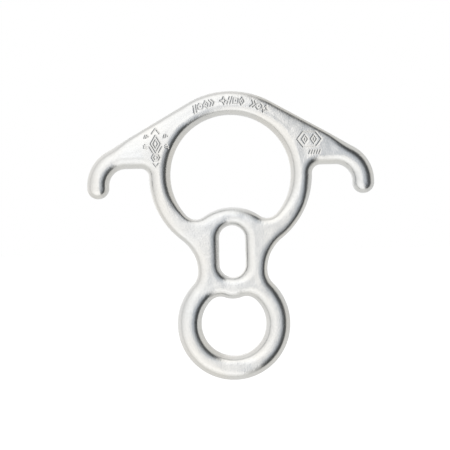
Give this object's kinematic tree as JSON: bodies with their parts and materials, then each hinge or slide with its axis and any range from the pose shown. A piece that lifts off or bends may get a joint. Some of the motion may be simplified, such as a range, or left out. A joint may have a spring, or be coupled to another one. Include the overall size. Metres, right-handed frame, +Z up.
{
  "type": "rescue figure-eight descender with ears",
  "caption": "Forged steel figure-eight descender: large rope ring with two hooked ears, slotted neck and small connector eye, for abseiling and lowering on rope.",
  "frame": {"origin": "centre of the connector eye, halfway through the thickness", "axes": "+Z up from the connector eye to the crown of the rope ring, +X to the right seen from the front, +Y through the thickness from the front face to the back face"},
  "size_m": [0.1494, 0.0114, 0.1499],
  "materials": {
    "forged_steel": "satin, tumbled forging with fine grain, soft edges and light rub marks"
  },
  "bodies": {
    "root": {"crown": "forged_steel", "left_shoulder": "forged_steel", "right_shoulder": "forged_steel", "left_ear": "forged_steel", "right_ear": "forged_steel", "left_ring_side": "forged_steel", "right_ring_side": "forged_steel", "saddle": "forged_steel", "left_neck": "forged_steel", "right_neck": "forged_steel", "eye_bridge": "forged_steel", "connector_ring": "forged_steel"}
  },
  "joints": []
}
